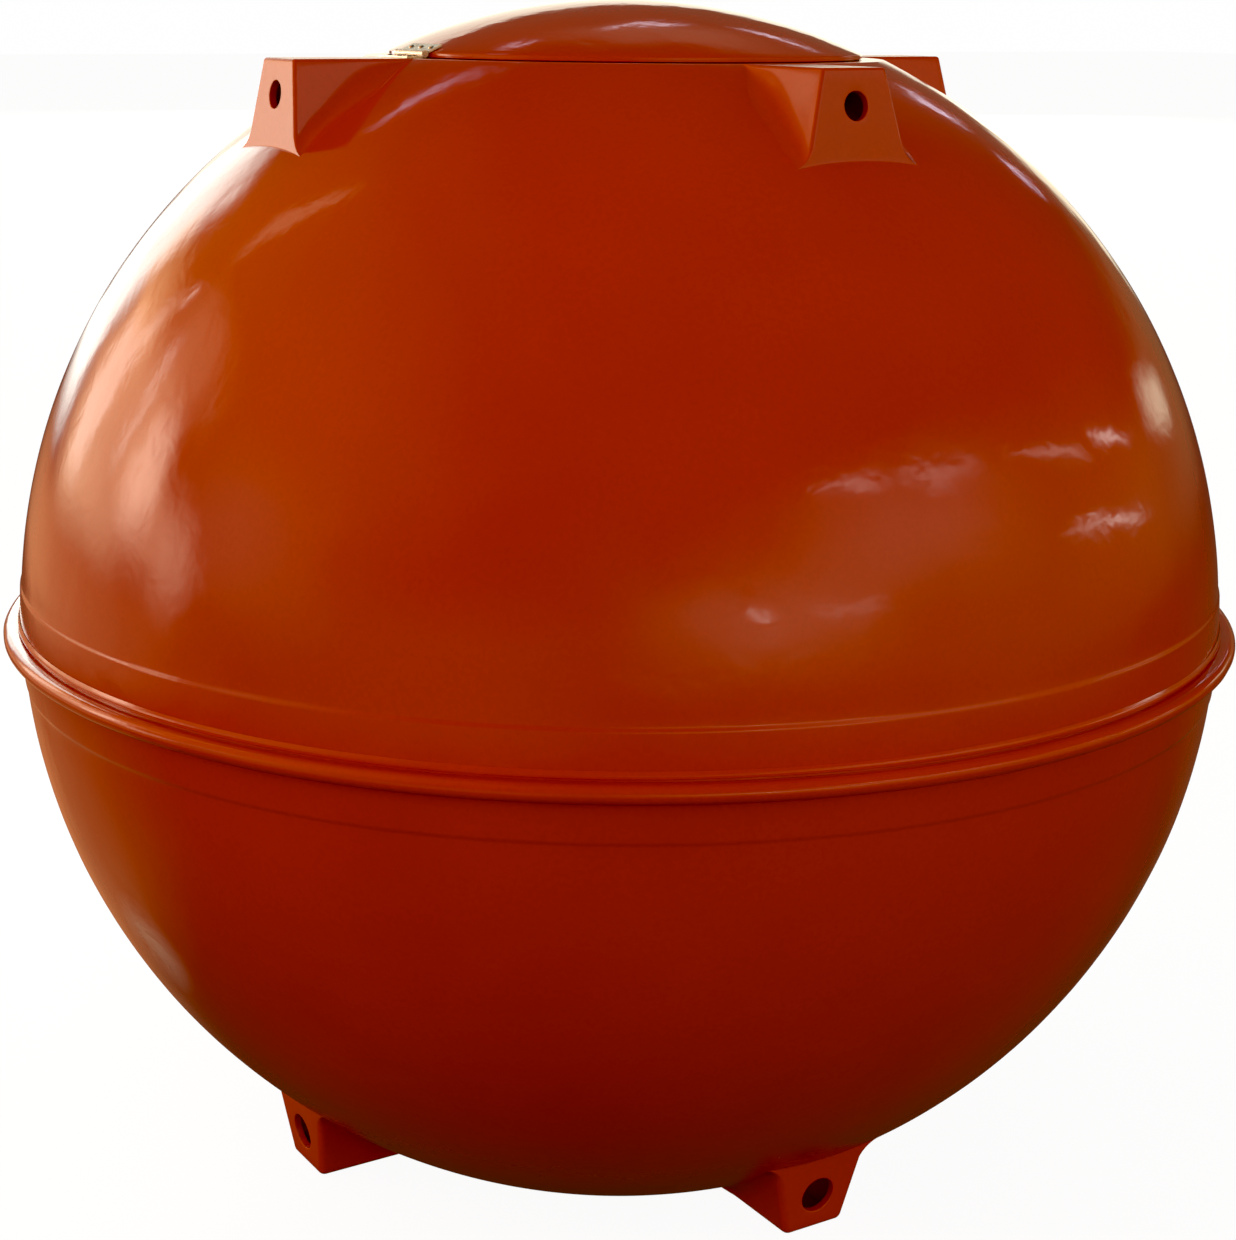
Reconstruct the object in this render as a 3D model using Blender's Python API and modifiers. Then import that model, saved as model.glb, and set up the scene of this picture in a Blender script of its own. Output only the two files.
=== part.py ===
"""Spherical fiberglass water tank: two half shells, bonded joint, lifting lugs, feet and a hinged manhole lid.

Metres, +Z up. The origin is on the floor under the middle of the tank.
The front lug and foot point to -Y, and the lid's hinge is on the -X lug.
"""
import math

import bmesh
import bpy
from mathutils import Matrix

# Tank body
SHELL_RADIUS = 0.800
SHELL_WALL = 0.007
FLAT_HEIGHT = 0.727  # height of the moulded flat above the joint, level with the lugs
JOINT_HEIGHT = FLAT_HEIGHT  # the feet are as tall as the lugs, so the joint stands this high
BOTTOM_CLEARANCE = 0.002  # the moulded bottom stands this far above the soles of the feet
SEGMENTS = 60  # facets round every turned piece
LATITUDES = 12  # facets from the flat to the joint band

# Joint between the half shells
BAND_RADIUS = 0.802
BAND_HEIGHT = 0.059
BAND_STEP = 0.004  # chamfer from the band up to the sphere
LIP_RADIUS = 0.8052
LIP_HEIGHTS = (0.0110, 0.0205)
LIP_BEVEL = 0.004
LIP_EDGE = 0.0010
BEAD_RADIUS = 0.011
BEAD_CENTRE_RADIUS = 0.8123
BEAD_CENTRE_HEIGHT = -0.0026  # above the joint
BEAD_FACETS = 8
INNER_BAND_WALL = 0.004
INNER_BAND_HEIGHT = 0.045

# Manhole and lid
MANHOLE_RADIUS = 0.275
SEAT_WALL = 0.007
SEAL_RADII = (0.278, 0.302)
SEAL_HEIGHT = 0.0027
LID_RADIUS = 0.306
LID_RIM_INNER_RADIUS = 0.270
LID_RIM_HEIGHT = 0.0032
LID_DOME_RADIUS = 0.3045
LID_RISE = 0.065
LID_WALL = 0.005
LID_FACETS = 6

# Lifting lugs and feet
LUG_FACE_RADIUS = 0.488
LUG_FACE_DRAFT = 0.126  # outward run of the outer face for each metre down
LUG_HALF_WIDTH = 0.0443
LUG_SIDE_DRAFT = 0.25
LUG_FLARE_DROP = 0.082  # distance below the flat at which the sides start to flare
LUG_FLARE_RATE = 11.0
LUG_FLARE_DEPTH = 0.035
LUG_FLARE_FACETS = 3
LUG_DEPTH = 0.150
LUG_INNER_RADIUS = 0.290
LUG_WALL = 0.008
LUG_HOLE_DROP = 0.042
LUG_HOLE_RADIUS = 0.0165
LUG_EDGE = 0.004
FOOT_HOLE_DROP = 0.049
FOOT_HOLE_RADIUS = 0.024
FOOT_EDGE = 0.009
HOLE_SEGMENTS = 24
DIRECTIONS = ("front", "right", "back", "left")

# Hinge
HINGE_LENGTH = 0.076
HINGE_LEAF_WIDTH = 0.025
HINGE_LEAF_WALL = 0.0022
HINGE_BARREL_RADIUS = 0.0045
HINGE_PIN_RADIUS = 0.0019
HINGE_KNUCKLES = 5
HINGE_SEGMENTS = 20
HINGE_BARREL_CLEARANCE = 0.0009  # between a leaf's edge and the other leaf's knuckles
HINGE_TAB_REACH = 0.003  # the tabs end this far from the hinge's axis, inside their knuckles
HINGE_TAB_INSET = 0.0004  # the tabs are this much narrower than their knuckles at each end
HINGE_OFFSET = 0.0052  # the axis lies this far outside the lid's edge

GAP = 0.0003  # clearance between pieces that touch
SEAT_GAP = 1.2 * GAP  # between the sphere and a lug, whose facets turn with it

LUG_TOP = JOINT_HEIGHT + FLAT_HEIGHT
SEAL_TOP = LUG_TOP + GAP + SEAL_HEIGHT
RIM_BOTTOM = SEAL_TOP + GAP
DOME_BOTTOM = RIM_BOTTOM + LID_RIM_HEIGHT + GAP
DOME_CURVE = (LID_DOME_RADIUS**2 + LID_RISE**2) / (2 * LID_RISE)
DOME_SLOPE = math.asin(LID_DOME_RADIUS / DOME_CURVE)
HINGE_RADIUS = LID_RADIUS + HINGE_OFFSET


def clear_scene():
    for item in list(bpy.data.objects):
        bpy.data.objects.remove(item, do_unlink=True)


def new_collection(name):
    collection = bpy.data.collections.new(name)
    bpy.context.scene.collection.children.link(collection)
    return collection


def new_material(name, colour, roughness, metallic=0.0):
    material = bpy.data.materials.new(name)
    material.use_nodes = True
    shader = material.node_tree.nodes["Principled BSDF"]
    shader.inputs["Base Color"].default_value = (*colour, 1.0)
    shader.inputs["Roughness"].default_value = roughness
    shader.inputs["Metallic"].default_value = metallic
    return material


clear_scene()
TANK = new_collection("fiberglass_water_tank")
CUTTERS = new_collection("cutters")

GELCOAT = new_material("orange_gelcoat", (0.42, 0.045, 0.004), 0.22)
RAW_LAMINATE = new_material("raw_laminate", (0.45, 0.38, 0.22), 0.6)
SEAL_RUBBER = new_material("black_rubber", (0.02, 0.02, 0.02), 0.7)
ZINC_STEEL = new_material("zinc_plated_steel", (0.62, 0.61, 0.58), 0.32, 1.0)


def new_object(name, mesh, material=None, collection=TANK):
    item = bpy.data.objects.new(name, mesh)
    collection.objects.link(item)
    if material is not None:
        mesh.materials.clear()
        mesh.materials.append(material)
    if collection is CUTTERS:
        item.hide_render = True
        item.display_type = "WIRE"
    return item


def sphere_points(radius, heights):
    """Points on the tank's sphere at heights above the joint (below it where negative)."""
    return [(math.sqrt(radius**2 - height**2), JOINT_HEIGHT + height) for height in heights]


def latitudes(radius, high, low, count):
    """Heights at even angles on a sphere of the given radius, from high to low."""
    first = math.acos(high / radius)
    last = math.acos(low / radius)
    return [radius * math.cos(first + (last - first) * step / count) for step in range(count + 1)]


def dome_heights(radius, top):
    """Heights of the facets' edges from top down to the joint band, the same on every spherical face."""
    step_height = BAND_HEIGHT + BAND_STEP
    return [top] + latitudes(radius, FLAT_HEIGHT - SEAT_WALL, step_height, LATITUDES)[1:]


def arc(centre, radius, start, end, count):
    """Points on an arc in the radius and height plane, angles in degrees from outward."""
    points = []
    for step in range(count + 1):
        angle = math.radians(start + (end - start) * step / count)
        points.append((centre[0] + radius * math.cos(angle), centre[1] + radius * math.sin(angle)))
    return points


def turned(name, outline, material=None, collection=TANK, closed=True):
    """Turn an outline of (radius, height) points, down the outer side first, round the vertical axis."""
    mesh = bpy.data.meshes.new(name)
    vertices = [(radius, 0.0, height) for radius, height in outline]
    edges = [(index, index + 1) for index in range(len(outline) - 1)]
    if closed:
        edges.append((len(outline) - 1, 0))
    mesh.from_pydata(vertices, edges, [])
    item = new_object(name, mesh, material, collection)
    screw = item.modifiers.new("turn", "SCREW")
    screw.axis = "Z"
    screw.angle = math.tau
    screw.steps = SEGMENTS
    screw.render_steps = SEGMENTS
    screw.use_merge_vertices = True
    screw.merge_threshold = 0.0001
    screw.use_smooth_shade = True
    return item


def subtract(item, cutter):
    cut = item.modifiers.new("cut", "BOOLEAN")
    cut.operation = "DIFFERENCE"
    cut.solver = "EXACT"
    cut.object = cutter


def join(item, other):
    union = item.modifiers.new("join", "BOOLEAN")
    union.operation = "UNION"
    union.solver = "EXACT"
    union.object = other


def rod(name, radius, low, high, centre, segments, material=None, collection=CUTTERS):
    """A cylinder along Y from low to high, with its axis through the (x, z) centre."""
    mesh = bpy.data.meshes.new(name)
    shape = bmesh.new()
    bmesh.ops.create_cone(
        shape, cap_ends=True, segments=segments, radius1=radius, radius2=radius, depth=high - low
    )
    turn = Matrix.Rotation(math.pi / 2, 4, "X")
    place = Matrix.Translation((centre[0], (low + high) / 2, centre[1]))
    bmesh.ops.transform(shape, matrix=place @ turn, verts=shape.verts)
    shape.to_mesh(mesh)
    shape.free()
    return new_object(name, mesh, material, collection)


def plate(name, outline, bottom, thickness, material):
    """A flat plate with the given (x, y) outline, from bottom up, as a mesh that can be cut."""
    curve = bpy.data.curves.new(name, "CURVE")
    curve.dimensions = "2D"
    curve.fill_mode = "BOTH"
    curve.extrude = thickness / 2
    spline = curve.splines.new("POLY")
    spline.points.add(len(outline) - 1)
    for point, (x, y) in zip(spline.points, outline):
        point.co = (x, y, 0.0, 1.0)
    spline.use_cyclic_u = True
    guide = bpy.data.objects.new(name + "_outline", curve)
    TANK.objects.link(guide)
    bpy.context.view_layer.update()
    depsgraph = bpy.context.evaluated_depsgraph_get()
    mesh = bpy.data.meshes.new_from_object(guide.evaluated_get(depsgraph))
    bpy.data.objects.remove(guide, do_unlink=True)
    shape = bmesh.new()
    shape.from_mesh(mesh)
    bmesh.ops.remove_doubles(shape, verts=shape.verts, dist=0.00001)
    bmesh.ops.translate(shape, verts=shape.verts, vec=(0.0, 0.0, bottom + thickness / 2))
    shape.to_mesh(mesh)
    shape.free()
    return new_object(name, mesh, material)


def make_shells():
    """The two half shells come from one mould, so the lower one is the upper one upside down."""
    inner_radius = SHELL_RADIUS - SHELL_WALL
    half_gap = GAP / 2
    band = [(BAND_RADIUS, JOINT_HEIGHT + BAND_HEIGHT), (BAND_RADIUS, JOINT_HEIGHT + half_gap)]
    inner_band = [
        (BAND_RADIUS - SHELL_WALL, JOINT_HEIGHT + half_gap),
        (BAND_RADIUS - SHELL_WALL, JOINT_HEIGHT + BAND_HEIGHT - BAND_STEP),
    ]
    seat_under = FLAT_HEIGHT - SEAT_WALL - GAP
    outer = sphere_points(SHELL_RADIUS, dome_heights(SHELL_RADIUS, seat_under))
    inner = sphere_points(inner_radius, dome_heights(inner_radius, seat_under))
    turned("upper_shell", outer + band + inner_band + inner[::-1], GELCOAT)

    flat = FLAT_HEIGHT - BOTTOM_CLEARANCE
    outer = sphere_points(SHELL_RADIUS, [flat] + dome_heights(SHELL_RADIUS, FLAT_HEIGHT - SEAT_WALL))
    inner = sphere_points(inner_radius, dome_heights(inner_radius, flat - SHELL_WALL))
    pole = (0.0, JOINT_HEIGHT + flat)
    inner_pole = (0.0, JOINT_HEIGHT + flat - SHELL_WALL)
    outline = [pole] + outer + band + inner_band + inner[::-1] + [inner_pole]
    mirrored = [(radius, 2 * JOINT_HEIGHT - height) for radius, height in reversed(outline)]
    turned("lower_shell", mirrored, GELCOAT, closed=False)


def make_joint():
    """The flanges of the shells form a lip and a rolled bead outside, and a bonding strip seals them inside."""
    outside = BAND_RADIUS + GAP
    lip_bottom, lip_top = [JOINT_HEIGHT + height for height in LIP_HEIGHTS]
    lip = [
        (outside, lip_top),
        (LIP_RADIUS - LIP_EDGE, lip_top - LIP_BEVEL + LIP_EDGE),
        (LIP_RADIUS, lip_top - LIP_BEVEL - LIP_EDGE),
        (LIP_RADIUS, lip_bottom + LIP_EDGE),
        (LIP_RADIUS - LIP_EDGE, lip_bottom),
        (outside, lip_bottom),
    ]
    turned("upper_joint_lip", lip, GELCOAT)
    middle = JOINT_HEIGHT + BEAD_CENTRE_HEIGHT
    bead = arc((BEAD_CENTRE_RADIUS, middle), BEAD_RADIUS, 90, -90, BEAD_FACETS)
    bead = [(outside, middle + BEAD_RADIUS)] + bead + [(outside, middle - BEAD_RADIUS)]
    turned("joint_bead", bead, GELCOAT)
    strip_outside = BAND_RADIUS - SHELL_WALL - GAP
    strip_inside = strip_outside - INNER_BAND_WALL
    strip = [
        (strip_outside, JOINT_HEIGHT + INNER_BAND_HEIGHT),
        (strip_outside, JOINT_HEIGHT - INNER_BAND_HEIGHT),
        (strip_inside, JOINT_HEIGHT - INNER_BAND_HEIGHT + INNER_BAND_WALL),
        (strip_inside, JOINT_HEIGHT + INNER_BAND_HEIGHT - INNER_BAND_WALL),
    ]
    turned("inner_joint_strip", strip, RAW_LAMINATE)


def make_manhole():
    """A flat ring closes the shell down to the manhole, and a rubber seal lies on it."""
    edge = sphere_points(SHELL_RADIUS, [FLAT_HEIGHT, FLAT_HEIGHT - SEAT_WALL])
    seat = edge + [(MANHOLE_RADIUS, LUG_TOP - SEAT_WALL), (MANHOLE_RADIUS, LUG_TOP)]
    turned("manhole_seat_ring", seat, GELCOAT)
    seal_bottom = LUG_TOP + GAP
    seal = [
        (SEAL_RADII[1], SEAL_TOP),
        (SEAL_RADII[1], seal_bottom),
        (SEAL_RADII[0], seal_bottom),
        (SEAL_RADII[0], SEAL_TOP),
    ]
    turned("lid_seal", seal, SEAL_RUBBER)


def make_lid(axis):
    """The lid is a shallow dome on a flat rim."""
    centre = (0.0, DOME_BOTTOM + LID_RISE - DOME_CURVE)
    start = math.degrees(DOME_SLOPE)
    outer = arc(centre, DOME_CURVE, 90, 90 - start, LID_FACETS)
    inner_radius = DOME_CURVE - LID_WALL
    inner_end = math.degrees(math.asin((DOME_BOTTOM - centre[1]) / inner_radius))
    inner = arc(centre, inner_radius, inner_end, 90, LID_FACETS)
    outer[0] = (0.0, outer[0][1])
    inner[-1] = (0.0, inner[-1][1])
    dome = turned("lid_dome", outer + inner, GELCOAT, closed=False)
    rim = [
        (LID_RADIUS, RIM_BOTTOM + LID_RIM_HEIGHT),
        (LID_RADIUS, RIM_BOTTOM),
        (LID_RIM_INNER_RADIUS, RIM_BOTTOM),
        (LID_RIM_INNER_RADIUS, RIM_BOTTOM + LID_RIM_HEIGHT),
    ]
    rim = turned("lid_rim", rim, GELCOAT)
    for item in (dome, rim):
        hang_on(item, axis)


def hang_on(item, parent):
    item.parent = parent
    item.matrix_parent_inverse = Matrix.Translation(parent.location).inverted()


def lug_half_width(drop):
    """Half the width of a lug at a distance below its top: straight draft, then a flare into the shell."""
    flare = min(max(0.0, drop - LUG_FLARE_DROP), LUG_FLARE_DEPTH)
    return LUG_HALF_WIDTH + LUG_SIDE_DRAFT * drop + LUG_FLARE_RATE * flare**2


def lug_block(name, side, inset, edge):
    """The outside of a lug at -Y, or the hollow inside it where inset is the wall."""
    mesh = bpy.data.meshes.new(name)
    shape = bmesh.new()
    bmesh.ops.create_cube(shape, size=1.0)
    for step in range(LUG_FLARE_FACETS + 1):
        drop = LUG_FLARE_DROP + LUG_FLARE_DEPTH * step / LUG_FLARE_FACETS
        everything = shape.verts[:] + shape.edges[:] + shape.faces[:]
        height = 0.5 - (drop - inset) / (LUG_DEPTH - inset)
        bmesh.ops.bisect_plane(shape, geom=everything, plane_co=(0, 0, height), plane_no=(0, 0, 1))
    for vertex in shape.verts:
        drop = inset + (0.5 - vertex.co.z) * (LUG_DEPTH - inset)
        half_width = lug_half_width(drop) - inset
        face = LUG_FACE_RADIUS + LUG_FACE_DRAFT * drop - inset
        vertex.co.x = math.copysign(half_width, vertex.co.x)
        vertex.co.y = -face if vertex.co.y < 0 else -LUG_INNER_RADIUS
        vertex.co.z = JOINT_HEIGHT + side * (FLAT_HEIGHT - drop)
    if side < 0:
        bmesh.ops.reverse_faces(shape, faces=shape.faces)
    shape.to_mesh(mesh)
    shape.free()
    item = new_object(name, mesh, GELCOAT if edge else None, CUTTERS)
    if edge:
        bevel = item.modifiers.new("edges", "BEVEL")
        bevel.width = edge
        bevel.segments = 2
        bevel.limit_method = "ANGLE"
        bevel.angle_limit = math.radians(50)
    return item


def make_lugs(prefix, side, hole_radius, hole_drop, edge):
    """Four hollow lugs round the tank, open towards the shell and holed in the outer face."""
    block = lug_block(prefix + "_block", side, 0.0, edge)
    hollow = lug_block(prefix + "_hollow", side, LUG_WALL, 0.0)
    radius = SHELL_RADIUS + SEAT_GAP
    heights = [radius, FLAT_HEIGHT] + dome_heights(radius, FLAT_HEIGHT - SEAT_WALL)
    outline = sphere_points(radius, heights) + [(0.0, JOINT_HEIGHT)]
    if side < 0:
        outline = [(r, 2 * JOINT_HEIGHT - height) for r, height in reversed(outline)]
    ball = turned(prefix + "_shell_cut", outline, collection=CUTTERS, closed=False)
    hole_height = JOINT_HEIGHT + side * (FLAT_HEIGHT - hole_drop)
    hole = rod(
        prefix + "_hole", hole_radius, -LUG_FACE_RADIUS - 0.05, -LUG_FACE_RADIUS + 0.03,
        (0.0, hole_height), HOLE_SEGMENTS,
    )
    for cutter in (hollow, hole, ball):
        subtract(block, cutter)
    bpy.context.view_layer.update()
    depsgraph = bpy.context.evaluated_depsgraph_get()
    mesh = bpy.data.meshes.new_from_object(block.evaluated_get(depsgraph))
    mesh.name = prefix
    mesh.shade_smooth()
    mesh.set_sharp_from_angle(angle=math.radians(30))
    for index, direction in enumerate(DIRECTIONS):
        item = new_object(f"{prefix}_{direction}", mesh)
        item.rotation_euler.z = index * math.pi / 2


def leaf_outline(direction, spans):
    """Comb outline of a hinge leaf: the plate, with a tab reaching the barrel at each of its knuckles."""
    half = HINGE_LENGTH / 2
    edge = HINGE_BARREL_RADIUS + HINGE_BARREL_CLEARANCE
    outline = [(HINGE_LEAF_WIDTH, half), (HINGE_LEAF_WIDTH, -half), (edge, -half)]
    for low, high in spans:
        outline += [(edge, low), (HINGE_TAB_REACH, low), (HINGE_TAB_REACH, high), (edge, high)]
    outline.append((edge, half))
    trimmed = [point for index, point in enumerate(outline) if point != outline[index - 1]]
    return [(direction * x, y) for x, y in trimmed]


def make_hinge(axis):
    """A butt hinge: one leaf on the left lug and seat ring, one up the lid's dome, and a pin."""
    place = axis.location
    knuckle = HINGE_LENGTH / HINGE_KNUCKLES
    for name, direction, first in (("hinge_leaf_fixed", -1, 0), ("hinge_leaf_lid", 1, 1)):
        lows = [-HINGE_LENGTH / 2 + index * knuckle for index in range(first, HINGE_KNUCKLES, 2)]
        bottom = LUG_TOP + GAP - place.z if direction < 0 else -HINGE_LEAF_WALL / 2
        spans = [(low + HINGE_TAB_INSET, low + knuckle - HINGE_TAB_INSET) for low in lows]
        leaf = plate(name, leaf_outline(direction, spans), bottom, HINGE_LEAF_WALL, ZINC_STEEL)
        for index, low in enumerate(lows):
            barrel = rod(
                f"{name}_knuckle_{index}", HINGE_BARREL_RADIUS, low + GAP / 2, low + knuckle - GAP / 2,
                (0.0, 0.0), HINGE_SEGMENTS,
            )
            barrel.parent = leaf
            join(leaf, barrel)
        bore = rod(
            f"{name}_bore", HINGE_PIN_RADIUS + GAP, -HINGE_LENGTH, HINGE_LENGTH, (0.0, 0.0), HINGE_SEGMENTS
        )
        bore.parent = leaf
        subtract(leaf, bore)
        if direction > 0:
            leaf.rotation_euler.y = -DOME_SLOPE
            leaf.parent = axis
        else:
            leaf.location = place
    pin = rod(
        "hinge_pin", HINGE_PIN_RADIUS, -HINGE_LENGTH / 2, HINGE_LENGTH / 2, (0.0, 0.0),
        HINGE_SEGMENTS, ZINC_STEEL, TANK,
    )
    pin.location = place


def make_hinge_axis():
    """The empty on the hinge's axis that carries the lid."""
    axis = bpy.data.objects.new("lid_hinge_axis", None)
    TANK.objects.link(axis)
    run = HINGE_RADIUS - LID_DOME_RADIUS
    leaf_middle = (GAP + HINGE_LEAF_WALL / 2) / math.cos(DOME_SLOPE)
    axis.location = (-HINGE_RADIUS, 0.0, DOME_BOTTOM - run * math.tan(DOME_SLOPE) + leaf_middle)
    return axis


make_shells()
make_joint()
make_manhole()
HINGE_AXIS = make_hinge_axis()
make_lid(HINGE_AXIS)
make_hinge(HINGE_AXIS)
make_lugs("lug", 1, LUG_HOLE_RADIUS, LUG_HOLE_DROP, LUG_EDGE)
make_lugs("foot", -1, FOOT_HOLE_RADIUS, FOOT_HOLE_DROP, FOOT_EDGE)
bpy.context.view_layer.update()
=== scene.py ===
"""Looks of the spherical fiberglass water tank: half shells, joint, lugs, feet, manhole lid and hinge.

Metres, +Z up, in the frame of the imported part. The front lug points to -Y, the lid's hinge is at -X.
"""
from math import acos, asin, atan, atan2, cos, hypot, pi, radians, sin, sqrt, tan, tau

import bmesh
import bpy
from mathutils import Matrix, Vector


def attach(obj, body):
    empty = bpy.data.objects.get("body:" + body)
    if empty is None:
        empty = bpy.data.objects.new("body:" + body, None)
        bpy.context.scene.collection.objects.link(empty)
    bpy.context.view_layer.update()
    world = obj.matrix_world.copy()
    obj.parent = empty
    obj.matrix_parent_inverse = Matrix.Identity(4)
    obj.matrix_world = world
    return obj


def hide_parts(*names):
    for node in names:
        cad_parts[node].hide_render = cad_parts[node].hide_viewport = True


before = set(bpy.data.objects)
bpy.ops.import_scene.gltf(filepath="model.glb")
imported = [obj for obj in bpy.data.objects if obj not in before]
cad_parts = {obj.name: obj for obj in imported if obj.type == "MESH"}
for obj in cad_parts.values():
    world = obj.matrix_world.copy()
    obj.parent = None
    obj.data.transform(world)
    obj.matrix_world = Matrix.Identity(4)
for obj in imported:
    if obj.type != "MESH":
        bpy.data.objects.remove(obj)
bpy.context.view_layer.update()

# Half shells
# Two mouldings from one mould: gelcoat backed by hand-laid glass mat in polyester, 7 mm thick.
# The lower one is the upper one upside down. Each has a flat at its pole and an upright band
# at the joint, where the two are bonded together.
JOINT_HEIGHT = 0.727
SHELL_RADIUS = 0.800
SHELL_WALL = 0.007
FLAT_HEIGHT = 0.727  # the flat above the joint, level with the lugs
FLAT_EDGE = 0.006  # rounding where the flat turns into the sphere
SEAT_SEAM_RADIUS = 0.290  # the shell's flat and the seat ring meet here, under the lid's seal
BOTTOM_CLEARANCE = 0.002
BAND_TOP = 0.0612
BAND_TOP_RADIUS = 0.7994
BAND_RADIUS = 0.8022
BAND_CHAMFER = 0.0045
BAND_UPRIGHT = 0.014  # below this the band leans no more
BAND_COVE = 0.011  # rounding where the sphere meets the band's chamfer
BAND_SHOULDER = 0.009
INNER_STEP = 0.006  # the inside turns into the sphere this far below the band's top
HALF_SEAM = 0.00015
SHELL_SEGMENTS = 256
SHELL_ROWS = 64
WAVE_DEPTH = 0.0022  # how far the hand-laid surface wanders, over one wave size
WAVE_SIZE = 0.30
WAVE_SEED = 3.0
FADE_HEIGHT = 0.715  # above or below the joint; the waves have faded out here
FADE_SPAN = 0.07
WELD = 0.00001  # points nearer than this are one
SWEEP_WELD = 0.00002  # and at the seam of a sweep, nearer than this
SLIVER = 0.000005
FACET = radians(16)  # the longest step of a rounded corner in a section
GUIDE_RADIUS = 0.1  # of the circle that a section is swept round; the section is set back by it
TANK_CENTRE = Vector((0.0, 0.0, JOINT_HEIGHT))


def add(tree, kind, settings=None, links=None):
    """Adds a node, sets its properties and sockets, and links its inputs from other nodes."""
    node = tree.nodes.new(kind)
    for key, value in (settings or {}).items():
        if isinstance(key, str) and hasattr(node, key):
            setattr(node, key, value)
        else:
            node.inputs[key].default_value = value
    for key, source in (links or {}).items():
        output = source.outputs[0] if isinstance(source, bpy.types.Node) else source
        tree.links.new(output, node.inputs[key])
    return node


def linear(hex_colour):
    """An sRGB hex colour as Blender's linear colour."""
    channels = []
    for start in (1, 3, 5):
        value = int(hex_colour[start:start + 2], 16) / 255
        channels.append(value / 12.92 if value <= 0.04045 else ((value + 0.055) / 1.055) ** 2.4)
    return (*channels, 1.0)


def put_in(name, data):
    """A new object in the scene with this mesh, light or camera."""
    item = bpy.data.objects.new(name, data)
    bpy.context.scene.collection.objects.link(item)
    return item


def new_material(name):
    """An empty node material and its tree."""
    material = bpy.data.materials.new(name)
    material.use_nodes = True
    material.node_tree.nodes.clear()
    return material, material.node_tree


def polyester_gelcoat(name, hollow_depth, low_gloss, high_gloss, glare_spot=None):
    """Moulded polyester gelcoat, signal orange, off a polished mould and waxed.

    To the eye: a deep even colour under a clear gloss, reflections that are soft at their edges
    because of faint orange peel, and a slightly cloudy tone where the coat is thinner. Round the
    glare spot a pale mottled patch is painted on as a painted reflection of glare, and the gloss there
    is duller.
    """
    material, tree = new_material(name)
    place = add(tree, "ShaderNodeTexCoord").outputs["Object"]
    noises = {}
    for use, scale, detail, roughness, distortion in (
        ("cloud", 3.1, 3.0, 0.55, 0.0),
        ("grain", 165.0, 2.0, 0.6, 0.0),
        ("haze", 9.0, 4.0, 0.6, 0.6),
        ("orange peel", 120.0, 1.5, 0.5, 0.0),
        # Print-through of the rolled mat, about 40 mm across, which shows only in reflections.
        ("strands", 24.0, 2.0, 0.5, 0.4),
        # The hollows of hand rolling, about 130 mm across, which bend the windows' reflections.
        ("hollows", 7.5, 1.0, 0.4, 0.5),
    ):
        noises[use] = add(
            tree, "ShaderNodeTexNoise",
            {"Scale": scale, "Detail": detail, "Roughness": roughness, "Distortion": distortion},
            {"Vector": place},
        )
    blend = add(
        tree, "ShaderNodeMix",
        {"data_type": "RGBA", 6: linear("#D0380A"), 7: linear("#BC2E06")}, {0: noises["cloud"]},
    )
    fleck_share = add(
        tree, "ShaderNodeMapRange",
        {"From Min": 0.35, "From Max": 0.72, "To Max": 0.22}, {"Value": noises["grain"]},
    )
    fleck = add(
        tree, "ShaderNodeMix", {"data_type": "RGBA", 7: linear("#A82804")},
        {0: fleck_share, 6: blend.outputs[2]},
    )
    gloss = add(
        tree, "ShaderNodeMapRange",
        {"From Min": 0.3, "From Max": 0.7, "To Min": low_gloss, "To Max": high_gloss},
        {"Value": noises["haze"]},
    )
    relief = {}
    for use, strength, depth in (
        ("orange peel", 0.35, 0.00012), ("strands", 0.6, 0.0008), ("hollows", 1.0, hollow_depth),
    ):
        bump = add(
            tree, "ShaderNodeBump", {"Strength": strength, "Distance": depth},
            {"Height": noises[use], **relief},
        )
        relief = {"Normal": bump}
    # The underside is duller, with the dust and fine scratches of the workshop floor.
    parts = add(tree, "ShaderNodeSeparateXYZ", None, {0: place})
    low_down = add(
        tree, "ShaderNodeMapRange",
        {"From Min": 0.45, "From Max": 0.08, "To Max": 0.20}, {"Value": parts.outputs["Z"]},
    )
    dullness = add(tree, "ShaderNodeMath", {"operation": "ADD"}, {0: gloss, 1: low_down})
    colour = fleck.outputs[2]
    # Painted reflection: a pale mottled patch round the glare spot stands in for glare reflected there,
    # and the gloss on it is duller.
    if glare_spot:
        away = add(tree, "ShaderNodeVectorMath", {"operation": "DISTANCE", 1: glare_spot}, {0: place})
        near = add(
            tree, "ShaderNodeMapRange",
            {"From Min": 0.080, "From Max": 0.015}, {"Value": away.outputs["Value"]},
        )
        glare_mottle = add(
            tree, "ShaderNodeMapRange",
            {"From Min": 0.32, "From Max": 0.68, "To Max": 0.9}, {"Value": noises["haze"]},
        )
        painted_glare = add(tree, "ShaderNodeMath", {"operation": "MULTIPLY"}, {0: near, 1: glare_mottle})
        colour = add(
            tree, "ShaderNodeMix", {"data_type": "RGBA", 7: linear("#F6C8B4")}, {0: painted_glare, 6: colour},
        ).outputs[2]
        dullness = add(
            tree, "ShaderNodeMath", {"operation": "MULTIPLY_ADD", 1: 0.30}, {0: painted_glare, 2: dullness},
        )
    shader = add(
        tree, "ShaderNodeBsdfPrincipled", {"IOR": 1.52},
        {"Base Color": colour, "Roughness": dullness, **relief},
    )
    add(tree, "ShaderNodeOutputMaterial", None, {"Surface": shader})
    return material


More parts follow.
